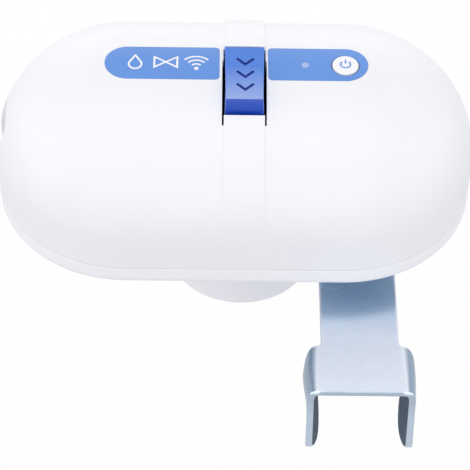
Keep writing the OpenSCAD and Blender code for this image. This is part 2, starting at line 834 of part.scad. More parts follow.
module motor_pinion() {
    overhang = 0.4;
    shaft_grip = 0.5;
    low = first_wheel_z - overhang;
    color("goldenrod") {
        gear(motor_at, pinion_teeth, first_module, direction(motor_at, first_at), low,
             first_wheel_t + 2 * overhang);
        post(motor_at, motor_shaft_d, low + eps, plate_top + shaft_grip);
    }
}

module first_gear() {
    color("ivory") difference() {
        union() {
            gear(first_at, first_wheel_teeth, first_module, gap_turn(first_at, motor_at, first_wheel_teeth),
                 first_wheel_z, first_wheel_t);
            gear(first_at, first_pinion_teeth, second_module, direction(first_at, second_at),
                 second_wheel_z, first_wheel_z - second_wheel_z + eps);
        }
        post(first_at, axle_d + 2 * run_gap, 0, plate_z);
    }
}

module second_gear() {
    color("ivory") difference() {
        union() {
            gear(second_at, second_wheel_teeth, second_module,
                 gap_turn(second_at, first_at, second_wheel_teeth), second_wheel_z, second_wheel_t);
            gear(second_at, second_pinion_teeth, output_module, direction(second_at, output_at),
                 output_gear_z, second_wheel_z - output_gear_z + eps);
        }
        post(second_at, axle_d + 2 * run_gap, 0, plate_z);
    }
}

module gear_axles() {
    color("silver") {
        post(first_at, axle_d, 1, plate_top);
        post(second_at, axle_d, 1, plate_top);
    }
}

module gear_plate() {
    color("lightgray") difference() {
        translate([0, 0, collar_h + plate_z]) linear_extrude(plate_t)
            union() {
                rounded_square(plate_low, plate_high, plate_corner);
                translate(output_at - [0, tongue / 2]) square(tongue);
            }
        for (at = [first_at, second_at]) post(at, axle_d, plate_z - 1, plate_top + 1);
        post([0, -plunger_y], plunger_d + 2 * plunger_gap, plate_z - 1, plate_top + 1);
        post(motor_at, motor_boss_d + 2 * boss_gap, plate_z - 1, plate_top + 1);
        for (at = posts) post(at, small_screw_d + 2 * screw_gap, plate_z - 1, plate_top + 1);
        for (turn = [0, 180]) post(motor_at + polar(motor_screw_r, motor_screw_angle + turn),
                                   small_screw_d + 2 * screw_gap, plate_z - 1, plate_top + 1);
    }
}

module plate_screws() {
    color("silver") for (at = posts)
        screw(at, plate_top + small_head_t, small_screw_d, small_head_d, small_head_t,
              plate_t + small_screw_grip, true);
}

module output_gear() {
    color("lightsteelblue") difference() {
        gear(output_at, output_teeth, output_module, gap_turn(output_at, second_at, output_teeth),
             output_gear_z, output_gear_t);
        post(output_at, seat_d, output_gear_z - 1, output_gear_z + output_gear_t + 1);
    }
}

module output_shaft() {
    color("silver") difference() {
        translate([output_at[0], output_at[1], collar_h]) rotate_extrude() polygon([
            [0, -fork_drop - sheet_t], [seat_d / 2, -fork_drop - sheet_t], [seat_d / 2, -fork_drop],
            [flange_d / 2, -fork_drop], [flange_d / 2, -boss_drop - face_gap],
            [journal_d / 2, -boss_drop - face_gap], [journal_d / 2, output_gear_z],
            [seat_d / 2, output_gear_z], [seat_d / 2, shaft_top], [0, shaft_top]]);
        for (i = [0 : fork_screw_count - 1])
            post(output_at + polar(fork_pcd / 2, 90 + i * 360 / fork_screw_count),
                 small_screw_d + 2 * screw_gap, -fork_drop - 1, fork_hole_top);
    }
}

module output_bush() {
    color("peru") difference() {
        post(output_at, bush_d, boss_top - bush_len, boss_top);
        post(output_at, journal_d + 2 * run_gap, boss_top - bush_len - 1, boss_top + 1);
    }
}

module shaft_seal() {
    seal_in = journal_d / 2 + run_gap;
    color("black") translate([output_at[0], output_at[1], collar_h - boss_drop + seal_inset]) rotate_extrude()
        translate([seal_in, 0]) square([bush_d / 2 - seal_in, seal_t]);
}

module position_cam() {
    hub_r = seat_d / 2 + 1.6;
    lobe = 40;
    color("orange") difference() {
        union() {
            post(output_at, 2 * hub_r, output_gear_z + output_gear_t, cam_low + eps);
            post(output_at, 2 * cam_r, cam_low, cam_low + cam_t);
            translate([output_at[0], output_at[1], collar_h + cam_low]) rotate(-lobe / 2)
                rotate_extrude(angle = lobe) square([cam_r + cam_rise, cam_t]);
        }
        post(output_at, seat_d, output_gear_z, cam_low + cam_t + 1);
    }
}

module shaft_clip() {
    color("dimgray") difference() {
        post(output_at, clip_d, clip_low, clip_low + clip_t);
        post(output_at, seat_d, clip_low - 1, clip_low + clip_t + 1);
    }
}

// Two small switches under the gear plate, a quarter turn apart round the cam
module position_switches() {
    switch_from = cam_r + cam_rise + face_gap;
    color("dimgray") for (turn = [0, 90]) translate([output_at[0], output_at[1], collar_h]) rotate(turn)
        translate([switch_from, -switch_len / 2, plate_z - switch_t]) cube([switch_w, switch_len, switch_t]);
}

// Sheet of an ear below its bend, as rows of points from the bend down to the rounded lower edge.
// Distances run from the ear's front edge to its back; the lower back corner leans inwards.
ear_cols = 6;
ear_heights = concat([for (i = [0 : 5]) -bend_r - i / 6 * (ear_h - ear_back_r - bend_r)],
                     [for (a = [0 : 9 : 90]) -ear_h + ear_back_r * (1 - sin(a))]);
function rounding(z, r) = z + ear_h >= r ? 0 : r - sqrt(max(0, pow(r, 2) - pow(z + ear_h - r, 2)));
function ear_span(z) = [rounding(z, ear_front_r), ear_len - rounding(z, ear_back_r)];
function ear_shift(y, z) = -ear_lean * (1 - pow(1 - y / ear_len, 2)) * (z + bend_r) / (bend_r - ear_h);
function ear_row(x, z) = let (span = ear_span(z)) [for (k = [0 : ear_cols])
    let (y = span[0] + (span[1] - span[0]) * k / ear_cols) [x + ear_shift(y, z), y, z]];
// The two triangles of a four-sided patch
function patch(a, b, c, d) = [[a, b, c], [a, c, d]];

module ear(inner_x) {
    last = len(ear_heights) - 1;
    wide = ear_cols + 1;
    out = wide * (last + 1);
    low = last * wide;
    polyhedron(
        points = concat([for (z = ear_heights) each ear_row(inner_x, z)],
                        [for (z = ear_heights) each ear_row(inner_x + sheet_t, z)]),
        faces = concat(
            [for (i = [0 : last - 1], k = [0 : ear_cols - 1]) let (a = i * wide + k)
                each concat(patch(a, a + wide, a + wide + 1, a + 1),
                            patch(out + a, out + a + 1, out + a + wide + 1, out + a + wide))],
            [for (k = [0 : ear_cols - 1]) each concat(
                patch(k, k + 1, out + k + 1, out + k),
                patch(low + k, out + low + k, out + low + k + 1, low + k + 1))],
            [for (i = [0 : last - 1]) let (a = i * wide, b = a + ear_cols) each concat(
                patch(a, out + a, out + a + wide, a + wide),
                patch(b, b + wide, out + b + wide, out + b))]));
}

module handle_fork() {
    half = arm_w / 2;
    bend_x = half + ear_step;
    color("silver") translate([output_at[0], output_at[1], collar_h - fork_drop]) difference() {
        union() {
            translate([0, 0, -sheet_t]) linear_extrude(sheet_t) {
                circle(half);
                translate([-half, -arm_len]) square([arm_w, arm_len]);
                translate([-bend_x, -arm_len]) square([2 * bend_x, ear_len]);
            }
            for (side = [0, 1]) mirror([side, 0, 0]) {
                translate([bend_x, -arm_len + ear_len, -bend_r]) rotate([90, 0, 0]) linear_extrude(ear_len)
                    intersection() {
                        difference() {
                            circle(bend_r);
                            circle(bend_r - sheet_t);
                        }
                        square(bend_r);
                    }
                translate([0, -arm_len, 0]) ear(bend_x + bend_r - sheet_t);
            }
        }
        translate([0, 0, -2 * sheet_t]) cylinder(d = seat_d, h = 3 * sheet_t);
        for (i = [0 : fork_screw_count - 1])
            translate([0, 0, -2 * sheet_t]) rotate(90 + i * 360 / fork_screw_count)
                translate([fork_pcd / 2, 0, 0]) cylinder(d = small_screw_d + 2 * boss_gap, h = 3 * sheet_t);
    }
}

module fork_screws() {
    color("silver") for (i = [0 : fork_screw_count - 1])
        screw(output_at + polar(fork_pcd / 2, 90 + i * 360 / fork_screw_count),
              -fork_drop - sheet_t - small_head_t, small_screw_d, small_head_d, small_head_t,
              sheet_t + fork_drop + fork_hole_top - 0.2);
}

upper_cover();
lower_base();
cover_gasket();
cover_screws();
left_label();
right_label();
indicator_lens();
set_button();
release_lever();
lever_pin();
release_plunger();
plunger_spring();
control_board();
board_screws();
tact_switch();
status_led();
radio_module();
dc_inlet();
motor();
motor_screws();
motor_pinion();
first_gear();
second_gear();
gear_axles();
gear_plate();
plate_screws();
output_gear();
output_shaft();
output_bush();
shaft_seal();
position_cam();
shaft_clip();
position_switches();
handle_fork();
fork_screws();
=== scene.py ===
"""Looks of the smart valve controller: finishes, fine details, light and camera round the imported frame."""
import json
import math

import bmesh
import bpy
from mathutils import Matrix, Vector
from mathutils.bvhtree import BVHTree
from mathutils.geometry import delaunay_2d_cdt
from mathutils.kdtree import KDTree


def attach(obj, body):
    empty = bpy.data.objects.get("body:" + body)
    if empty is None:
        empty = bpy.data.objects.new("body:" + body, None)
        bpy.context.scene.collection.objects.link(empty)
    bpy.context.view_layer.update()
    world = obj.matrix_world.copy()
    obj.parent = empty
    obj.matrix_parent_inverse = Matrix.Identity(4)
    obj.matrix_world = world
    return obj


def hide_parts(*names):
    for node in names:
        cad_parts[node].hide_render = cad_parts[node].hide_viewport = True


MM = 0.001

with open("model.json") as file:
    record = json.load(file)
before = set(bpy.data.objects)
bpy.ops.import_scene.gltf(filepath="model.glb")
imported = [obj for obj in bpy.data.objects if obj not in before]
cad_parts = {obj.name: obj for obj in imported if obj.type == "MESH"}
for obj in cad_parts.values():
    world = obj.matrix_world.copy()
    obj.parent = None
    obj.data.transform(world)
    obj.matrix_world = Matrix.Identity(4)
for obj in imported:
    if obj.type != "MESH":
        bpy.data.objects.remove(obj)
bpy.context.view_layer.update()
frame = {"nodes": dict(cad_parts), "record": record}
nodes = frame["nodes"]

# Sizes of the part's source, in millimetres
COLLAR_H = 26.5
LEVER_BACK_Y, LEVER_FRONT_Y = 4.7, -15.5
LEVER_LOW, LEVER_HIGH = 68.54, 76.07
RIM_LOW, RIM_HIGH = 27.3, 31.9
END_LEFT, END_RIGHT = -31.1, 26.9
DRIVE_X = 31.6
FORK_TOP = 18.3
SHEET_T = 1.8
ARM_W, ARM_LEN = 20.9, 65.5
BEND_R = 2.6
EAR_STEP, EAR_H, EAR_LEN = 1.3, 25.1, 15.8
EAR_BACK_R, EAR_FRONT_R = 7.0, 2.0
SEAT_D, SCREW_HOLE_D, SCREW_CIRCLE, SCREWS = 8.0, 2.2, 14.0, 3


# Materials

def add_node(tree, kind, **settings):
    made = tree.nodes.new(kind)
    for key, value in settings.items():
        setattr(made, key, value)
    return made


def rgba(sockets):
    return [s for s in sockets if s.type == "RGBA"]


class Shader:
    """One procedural material, with its texture nodes in the piece's own coordinates, in metres."""

    def __init__(self, name, **sockets):
        self.material = bpy.data.materials.new(name)
        self.material.use_nodes = True
        self.tree = self.material.node_tree
        self.bsdf = self.tree.nodes["Principled BSDF"]
        place = self.node("ShaderNodeTexCoord")
        self.where = place.outputs["Object"]
        self.facing = place.outputs["Normal"]
        for socket, value in sockets.items():
            self.bsdf.inputs[socket.replace("_", " ").title().replace("Ior", "IOR")].default_value = value

    def node(self, kind, **settings):
        return add_node(self.tree, kind, **settings)

    def link(self, source, target):
        self.tree.links.new(source, target)

    def stretched(self, scale):
        mapping = self.node("ShaderNodeMapping")
        mapping.inputs["Scale"].default_value = scale
        self.link(self.where, mapping.inputs["Vector"])
        return mapping.outputs["Vector"]

    def maths(self, operation, *values):
        """The result of a Math node; a plain number is set on its socket and anything else is linked."""
        made = self.node("ShaderNodeMath", operation=operation)
        for socket, value in zip(made.inputs, values):
            if hasattr(value, "is_linked"):
                self.link(value, socket)
            else:
                socket.default_value = value
        return made.outputs[0]

    def part(self, vector, axis):
        made = self.node("ShaderNodeSeparateXYZ")
        self.link(vector, made.inputs["Vector"])
        return made.outputs[axis]

    def noise(self, size_mm, detail=3.0, roughness=0.5, where=None):
        made = self.node("ShaderNodeTexNoise")
        made.inputs["Scale"].default_value = 1 / (size_mm * MM)
        made.inputs["Detail"].default_value = detail
        made.inputs["Roughness"].default_value = roughness
        self.link(where or self.where, made.inputs["Vector"])
        return made.outputs["Fac"]

    def spread(self, value, low, high, from_low=0.3, from_high=0.7, shape="LINEAR"):
        """Maps a range of values, by default the middle of a noise, onto another range."""
        made = self.node("ShaderNodeMapRange", interpolation_type=shape)
        made.inputs["From Min"].default_value = from_low
        made.inputs["From Max"].default_value = from_high
        made.inputs["To Min"].default_value = low
        made.inputs["To Max"].default_value = high
        self.link(value, made.inputs["Value"])
        return made.outputs["Result"]

    def along(self, axis, limits, low=0, high=1, shape="LINEAR"):
        """A value that runs from low to high between two places along an axis, in millimetres."""
        start, end = (place * MM for place in limits)
        return self.spread(self.part(self.where, axis), low, high, start, end, shape)

    def blend(self, share, first, second):
        made = self.node("ShaderNodeMix", data_type="RGBA")
        self.link(share, made.inputs["Factor"])
        for target, colour in zip(rgba(made.inputs), (first, second)):
            if hasattr(colour, "is_linked"):
                self.link(colour, target)
            else:
                target.default_value = (*colour, 1)
        return rgba(made.outputs)[0]

    def colour(self, value):
        self.link(value, self.bsdf.inputs["Base Color"])

    def rough(self, value):
        self.link(value, self.bsdf.inputs["Roughness"])

    def bump(self, height, depth_mm):
        """Adds a relief on top of those that the material already has."""
        made = self.node("ShaderNodeBump")
        made.inputs["Strength"].default_value = 1.0
        made.inputs["Distance"].default_value = depth_mm * MM
        self.link(height, made.inputs["Height"])
        if self.bsdf.inputs["Normal"].is_linked:
            self.link(self.bsdf.inputs["Normal"].links[0].from_socket, made.inputs["Normal"])
        self.link(made.outputs["Normal"], self.bsdf.inputs["Normal"])


def shade(colour, factor):
    return tuple(min(1.0, c * factor) for c in colour)


# Share of its roughness between which a moulded or cut surface varies
UNEVEN_LOW, UNEVEN_HIGH = 0.85, 1.15
# Scale of a texture that is drawn out into streaks along the X axis
STREAKS_ALONG_X = (0.1, 1, 1)


def plastic(name, colour, gloss=0.32, grain_mm=0.35, grain_depth=0.006, cloud=0.006):
    """Moulded plastic: faint clouding, uneven gloss and a fine moulded grain."""
    made = Shader(name, ior=1.45)
    clouds = made.spread(made.noise(size_mm=14, detail=2), 0, 1)
    made.colour(made.blend(clouds, shade(colour, 1 - cloud), shade(colour, 1 + cloud)))
    made.rough(made.spread(made.noise(size_mm=2.5, detail=4), gloss * UNEVEN_LOW, gloss * UNEVEN_HIGH))
    made.bump(made.noise(size_mm=grain_mm, detail=2), grain_depth)
    return made.material


def metal(name, colour, gloss=0.3, streak=(1, 1, 1), streak_mm=0.4, streak_depth=0.004, **sockets):
    """Bare or plated metal: drifting tone, uneven gloss and fine marks along its working direction."""
    made = Shader(name, metallic=1.0, **sockets)
    drift = made.spread(made.noise(size_mm=6, detail=3), 0, 1)
    made.colour(made.blend(drift, shade(colour, 0.93), shade(colour, 1.05)))
    marks = made.noise(size_mm=streak_mm, detail=4, roughness=0.6, where=made.stretched(streak))
    made.rough(made.spread(marks, gloss * 0.75, gloss * 1.25))
    made.bump(marks, streak_depth)
    return made.material


# Along the arm, in millimetres: where the painted reflection of the body's underside starts and
# where it is full
ARM_REFLECTION_Y = (-48, -33)
# Where pressing left the arm a little out of flat: the rise of its face towards the hub, and the stretch
# that rises
ARM_RISE = 0.8
ARM_RISE_Y = (-49.5, -32.5)
# How far a face of the sheet is turned, as a part of its normal: upper faces, which take the painted
# reflection, start and end of a crease, where a highlight is painted, and flanks, which take painted shade
TURNED_UP = (0.2, 0.8)
CREASE_START, CREASE_END = (0.04, 0.12), (0.14, 0.3)
TURNED_SIDEWAYS = (0.12, 0.5)


def zinc(name, colour, blue, flank_shade, crease_highlight, gloss=0.27):
    """Zinc-plated sheet: a painted reflection of the body's dark blue underside on the arm's upper faces near
    the hub, painted shade on the flanks beside painted highlights along the creases, and faint rolling marks."""
    made = Shader(name, metallic=1.0)
    drift = made.spread(made.noise(size_mm=9, detail=4, roughness=0.6), 0, 1)
    tone = made.blend(drift, shade(colour, 0.97), shade(colour, 1.02))
    # Painted reflection: upper faces near the hub take the darker blue of the body's underside
    under_body_share = made.along("Y", ARM_REFLECTION_Y)
    upwards = made.spread(made.part(made.facing, "Z"), 0, 1, *TURNED_UP)
    tone = made.blend(made.maths("MULTIPLY", under_body_share, upwards), tone, blue)
    # Painted highlight: a thin pale line along each crease, where the face first turns sideways
    sideways = made.maths("ABSOLUTE", made.part(made.facing, "X"))
    starting = made.spread(sideways, 0, 1, *CREASE_START)
    ending = made.spread(sideways, 1, 0, *CREASE_END)
    crease = made.maths("MULTIPLY", starting, ending)
    # Painted shade: faces that look sideways, the flanks, take a darker colour
    tone = made.blend(made.spread(sideways, 0, 1, *TURNED_SIDEWAYS), tone, flank_shade)
    made.colour(made.blend(crease, tone, crease_highlight))
    rolled = made.noise(size_mm=0.6, detail=4, roughness=0.6, where=made.stretched(STREAKS_ALONG_X))
    made.rough(made.spread(rolled, gloss * 0.98, gloss * 1.025))
    made.bump(made.along("Y", ARM_RISE_Y, shape="SMOOTHSTEP"), ARM_RISE)
    made.bump(rolled, depth_mm=0.00003)
    made.bump(made.noise(size_mm=6, detail=2), depth_mm=0.004)
    return made.material


# Places on the fork's cut edges, in millimetres: behind its front, the height of the ears' ends with painted
# light, and the corners with a painted highlight, beside the drive's axis and in height
EDGE_BEHIND = (0.5, 1.5)
EAR_END_Z = (8, 15)
CORNER_BESIDE, CORNER_Z = (10.6, 11.6), (16.9, 17.9)
# How much lighter than the front edge the painted light on the ears' ends and the painted corner highlights
# are
EAR_END_PAINTED_LIGHT, CORNER_HIGHLIGHT = 1.35, 1.9


def cut_zinc_with_highlights(name, front, sides, gloss=0.35):
    """Sheared edges of the sheet: duller, faintly scored and darker as painted shade at the front, with
    painted light on the ears' lower ends and painted highlights on the bends' corners, and plated over at the
    sides."""
    made = Shader(name, metallic=1.0)
    scored = made.noise(size_mm=0.3, detail=4, roughness=0.6, where=made.stretched(STREAKS_ALONG_X))
    tone = made.blend(made.spread(scored, 0, 1), shade(front, 0.9), shade(front, 1.1))
    behind = made.along("Y", [distance - ARM_LEN for distance in EDGE_BEHIND])
    # Painted light: the ears' front strips grow lighter towards their lower ends
    tone = made.blend(made.along("Z", EAR_END_Z, low=0.6, high=0), tone, shade(front, EAR_END_PAINTED_LIGHT))
    # Painted highlight: the top corners of the bends are much lighter
    from_axis = made.maths("SUBTRACT", made.part(made.where, "X"), DRIVE_X * MM)
    start, end = (distance * MM for distance in CORNER_BESIDE)
    beside = made.spread(made.maths("ABSOLUTE", from_axis), 0, 1, start, end)
    above = made.along("Z", CORNER_Z)
    tone = made.blend(made.maths("MULTIPLY", beside, above), tone, shade(front, CORNER_HIGHLIGHT))
    made.colour(made.blend(behind, tone, sides))
    made.rough(made.spread(scored, gloss * UNEVEN_LOW, gloss * UNEVEN_HIGH))
    made.bump(scored, depth_mm=0.001)
    return made.material


# Length, in millimetres, over which the painted sheen on the lever's top fades out from its front edge
LEVER_SHEEN_LEN = 13


def pressed_blue(name, colour, sheen, gloss=0.3):
    """The lever's plastic: fine spark-eroded grain, with a painted sheen that makes the front of its top
    paler.
    """
    made = Shader(name, ior=1.5)
    # Painted sheen: the top grows paler towards its front edge
    sheen_share = made.along("Y", (LEVER_FRONT_Y, LEVER_FRONT_Y + LEVER_SHEEN_LEN), low=1, high=0)
    tone = made.blend(sheen_share, colour, sheen)
    specks = made.spread(made.noise(size_mm=0.35, detail=2), 0, 0.12)
    made.colour(made.blend(specks, tone, shade(sheen, 1.2)))
    made.rough(made.spread(made.noise(size_mm=1.2, detail=4), gloss * UNEVEN_LOW, gloss * UNEVEN_HIGH))
    made.bump(made.noise(size_mm=0.25, detail=3), depth_mm=0.008)
    return made.material


WEAVE_MM = 2.0


def board(name, colour):
    """Lacquered circuit board with a faint weave and paler tracks."""
    made = Shader(name, ior=1.5)
    weave = made.node("ShaderNodeTexBrick")
    weave.inputs["Scale"].default_value = 1 / (WEAVE_MM * MM)
    made.link(made.where, weave.inputs["Vector"])
    tracks = made.spread(weave.outputs["Fac"], 0, 1, 0, 1)
    made.colour(made.blend(tracks, shade(colour, 0.85), shade(colour, 1.4)))
    made.rough(made.spread(made.noise(size_mm=1.5), 0.3, 0.45))
    made.bump(weave.outputs["Fac"], depth_mm=0.02)
    return made.material


WHITE = (0.865, 0.865, 0.895)
BLUE = (0.123, 0.288, 0.71)
LEVER_BLUE = (0.045, 0.185, 0.665)
# Painted sheen on the front of the lever's top
LEVER_SHEEN = (0.3, 0.4, 0.745)
# Painted shade on the lever's front face
LEVER_FRONT_SHADE = (0.008, 0.065, 0.47)
# Painted shade in the chevron grooves
LEVER_GROOVE_SHADE = (0.012, 0.04, 0.3)
ZINC = (0.75, 0.81, 0.9)
# Painted reflection of the body's underside on the arm
ZINC_BODY_REFLECTION = (0.46, 0.63, 0.80)
# Painted shade on the flanks of the bends
ZINC_FLANK_SHADE = (0.285, 0.365, 0.465)
# Painted highlight along the creases
ZINC_CREASE_HIGHLIGHT = (0.8, 0.84, 0.91)
# Painted shade on the ears' inner faces
ZINC_INSIDE_SHADE = (0.19, 0.22, 0.26)
# Front cut edge: duller because it is unplated, and darker still as painted shade
ZINC_EDGE = (0.4, 0.47, 0.56)

finishes = {
    "cover_white": plastic("moulded_white", WHITE, gloss=0.46),
    # Painted light: the base's white is a little lighter than the cover's, so that the collar in the body's
    # shade reads lighter
    "base_white": plastic("moulded_white_base_painted_light", shade(WHITE, 1.03), gloss=0.42, grain_mm=0.5),
    "label_blue": plastic("printed_blue", BLUE, gloss=0.42, grain_mm=0.15, grain_depth=0.004, cloud=0.03),
    "lever_blue": pressed_blue("moulded_blue", LEVER_BLUE, LEVER_SHEEN),
    "lens_clear": plastic("milky_lens", (0.37, 0.49, 0.77), gloss=0.2),
    "button_white": plastic("moulded_white_button", (0.9, 0.905, 0.93), gloss=0.3),
    "zinc": zinc("zinc_sheet", ZINC, ZINC_BODY_REFLECTION, ZINC_FLANK_SHADE, ZINC_CREASE_HIGHLIGHT),
    "steel": metal("plated_steel", (0.62, 0.64, 0.67), gloss=0.28),
    "motor_steel": metal("can_steel", (0.6, 0.6, 0.6), gloss=0.34, streak=(1, 1, 0.1)),
    "brass": metal("turned_brass", (0.76, 0.56, 0.22), gloss=0.28),
    "bronze": metal("sintered_bronze", (0.5, 0.3, 0.14), gloss=0.5, streak_mm=0.2, streak_depth=0.01),
    "black_plastic": plastic("moulded_black", (0.02, 0.02, 0.022), gloss=0.45, cloud=0.1),
    "rubber": plastic("soft_rubber", (0.03, 0.03, 0.032), gloss=0.75, grain_mm=0.2, grain_depth=0.02,
                      cloud=0.15),
    "board_green": board("lacquered_board", (0.015, 0.12, 0.05)),
    "gear_white": plastic("gear_resin", (0.8, 0.77, 0.68), gloss=0.4),
    "plunger_grey": plastic("moulded_grey", (0.5, 0.51, 0.53), gloss=0.4),
    "cam_orange": plastic("moulded_orange", (0.7, 0.22, 0.03), gloss=0.4),
}

slot_of = {row["node"]: row["material_slot"] for row in frame["record"]["subparts"]}
for name, piece in nodes.items():
    piece.data.materials.clear()
    piece.data.materials.append(finishes[slot_of[name]])

# Painted shade: the lever's front face is a darker blue
lever_front_shade = plastic("moulded_blue_front_painted_shade", LEVER_FRONT_SHADE, gloss=0.3, grain_mm=0.25, grain_depth=0.008,
                      cloud=0.04)
# Painted shade: the chevron grooves are a darker blue
lever_groove_shade = plastic("moulded_blue_groove_painted_shade", LEVER_GROOVE_SHADE, gloss=0.5, cloud=0.04)
# Painted light: the seal is pale so that the seam shows lighter than its shade
pale_silicone_painted_light = plastic("pale_silicone_painted_light", (0.78, 0.78, 0.8), gloss=0.6)
# Painted shade: a dark zinc for the ears' inner faces
ear_inside_shade = metal("zinc_inside_painted_shade", ZINC_INSIDE_SHADE, gloss=0.5, streak=(1, 0.1, 1), streak_depth=0.001,
                   specular_tint=(0.2, 0.22, 0.25, 1))
# Cut edges, darkened at the front as painted shade, with painted light and highlights at the ears' ends and
# corners
sheared_edge_with_highlights = cut_zinc_with_highlights("zinc_edge_with_highlights", ZINC_EDGE, shade(ZINC, 0.95))
white_print = plastic("printed_white", (0.9, 0.9, 0.92), gloss=0.5, grain_mm=0.15, grain_depth=0.002)
blue_print = plastic("printed_sign", (0.13, 0.29, 0.72), gloss=0.5, grain_mm=0.15, grain_depth=0.002)


# Tools for the scene's own pieces

# Edges over the first angle in degrees stay sharp in the shading, and those over the second are rounded
SHARP_OVER, ROUNDED_OVER = 50, 32
# Points this near to each other, in millimetres, are joined, and faces within this angle, in degrees, are one
WELD, FLAT_WITHIN = 0.002, 0.3
# How much of a face's normal lies along an axis if the face looks that way, fully or mainly
LOOKS_ALONG, MAINLY_ALONG = 0.9, 0.5


def added(name, mesh, *materials):
    made = bpy.data.objects.new(name, mesh)
    bpy.context.scene.collection.objects.link(made)
    for material in materials:
        mesh.materials.append(material)
    return made


def body_of(node):
    return next(b for b, names in frame["record"]["behaviour"]["bodies"].items() if node in names)


def stand_for(piece, node):
    """Even shading for a piece that stands for a CAD node, with that node's body, and the node hidden."""
    shading = piece.modifiers.new("even_shading", "WEIGHTED_NORMAL")
    shading.keep_sharp = True
    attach(piece, body_of(node))
    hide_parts(node)
    return piece


def to_mesh(work, name):
    """The finished mesh, smooth but for its sharp edges, without normals from the piece that was copied."""
    for face in work.faces:
        face.smooth = True
    for edge in work.edges:
        edge.smooth = edge.calc_face_angle(0) < math.radians(SHARP_OVER)
    mesh = bpy.data.meshes.new(name)
    work.to_mesh(mesh)
    work.free()
    old_normals = mesh.attributes.get("custom_normal")
    if old_normals:
        mesh.attributes.remove(old_normals)
    return mesh


def welded(node, walls_only=False):
    """A CAD piece's mesh with its seams closed and the triangles of its flat faces, or its walls, joined."""
    work = bmesh.new()
    work.from_mesh(nodes[node].data)
    bmesh.ops.remove_doubles(work, verts=work.verts, dist=WELD * MM)
    work.normal_update()
    verts, edges = work.verts, work.edges
    if walls_only:
        verts = []
        edges = [e for e in work.edges if all(abs(f.normal.z) < LOOKS_ALONG for f in e.link_faces)]
    bmesh.ops.dissolve_limit(work, angle_limit=math.radians(FLAT_WITHIN), verts=verts, edges=edges)
    work.normal_update()
    return work


def bevel(work, width, steps, chosen=None):
    """Rounds the sharp edges; chosen, where given, picks among them by the height of both ends, in mm."""
    limit = math.radians(ROUNDED_OVER)
    edges = [e for e in work.edges if e.is_manifold and e.calc_face_angle(0) > limit]
    if chosen:
        edges = [e for e in edges if all(chosen(v.co.z / MM) for v in e.verts)]
    bmesh.ops.bevel(work, geom=edges, offset=width * MM, segments=steps, profile=0.5, affect="EDGES",
                    clamp_overlap=True, material=-1)


# Step along a stroke, in millimetres, and a limit that keeps a mitred corner from reaching too far
STROKE_STEP = 0.4
MITRE_LEAST = 0.4
SAME_POINT = 1e-6
NO_LENGTH = 1e-9


def arc(centre, radius, start, end, step=STROKE_STEP):
    """Points along an arc, from a start angle to an end angle in degrees."""
    count = max(2, round(abs(math.radians(end - start)) * radius / step) + 1)
    angles = [math.radians(start + (end - start) * i / (count - 1)) for i in range(count)]
    return [Vector((centre[0] + radius * math.cos(a), centre[1] + radius * math.sin(a))) for a in angles]


def line(*corners, step=STROKE_STEP):
    """Points along straight stretches, with each corner kept."""
    points = [Vector(corners[0])]
    for a, b in zip(corners, corners[1:]):
        a, b = Vector(a), Vector(b)
        count = max(1, round((b - a).length / step))
        points += [a.lerp(b, (i + 1) / count) for i in range(count)]
    return points


def rims(path, width):
    """The two sides of a stroke, mitred at its corners; a path that ends where it starts is a closed one."""
    closed = (path[0] - path[-1]).length < SAME_POINT
    points = path[:-1] if closed else path
    last = len(points) - 1
    sides = []
    for i, point in enumerate(points):
        before = points[i - 1] if closed or i > 0 else point
        after = points[(i + 1) % len(points)] if closed or i < last else point
        ways = [w.normalized() for w in (point - before, after - point) if w.length > NO_LENGTH]
        along = (ways[0] + ways[-1]).normalized()
        across = Vector((-along.y, along.x))
        reach = width / 2 / max(MITRE_LEAST, across.dot(Vector((-ways[0].y, ways[0].x))))
        sides.append((point + across * reach, point - across * reach))
    return sides, closed


# Fork, bent from a flat pattern of sheet with rounded edges

# Materials of the sheet: its faces, the ears' inner faces in painted shade, and its cut edges
SHEET, INSIDE, EDGE = range(3)
SHEET_STEP = 0.8
LEAST_STEP = 1e-4
SHEARED_R = 0.35
SHEARED_STEPS = 3
# Width and forward dip of the slope where an ear's back edge begins, how it is eased, and its inner corner
SHOULDER_W, SHOULDER_DIP, SHOULDER_EASE, SHOULDER_R = 6.8, 2.2, 1.5, 0.8
# Left and right ear: outward bow of its middle, inward toe of its back corner, outward splay of its foot
EAR_FORM = {-1: (1.5, 4.3, 0.0), 1: (0.7, 3.0, 0.8)}
# How the toe is eased towards the back and down the ear
TOE_BACK_EASE, TOE_DOWN_EASE = 4, 1.1
# How much nearer to the arm's middle the bends start than in the solid, and how much shorter the ears are cut
EAR_NEARER, EAR_SHORTER = 0.15, 0.2
# At the back the bends start further in and are wider by a share, which makes the shoulders fuller
BEND_IN, BEND_WIDER = 1.2, 0.65
BEND_STEPS = 60
# The kind of triangulation that stays inside an outline and leaves its holes open
INSIDE_WITH_HOLES = 2


def bend_curve():
    """A bend's outer face from crease to ear, tightest at the crease, as (along, across, down, angle)."""
    steps = BEND_STEPS
    angles = [math.pi / 2 * (1 - (1 - (k + 0.5) / steps) ** 2) for k in range(steps)]
    length = BEND_R * steps / sum(math.cos(a) for a in angles)
    rows = [(0, 0, 0, 0)]
    for k, angle in enumerate(angles):
        along, across, down, _ = rows[-1]
        step = length / steps
        turned = math.pi / 2 * (1 - (1 - (k + 1) / steps) ** 2)
        rows.append((along + step, across + step * math.cos(angle), down + step * math.sin(angle), turned))
    return rows


BEND = bend_curve()
BEND_LEN, _, BEND_DROP, _ = BEND[-1]
PATTERN_HALF = ARM_W / 2 + EAR_STEP + BEND_LEN + EAR_H - BEND_DROP - EAR_SHORTER


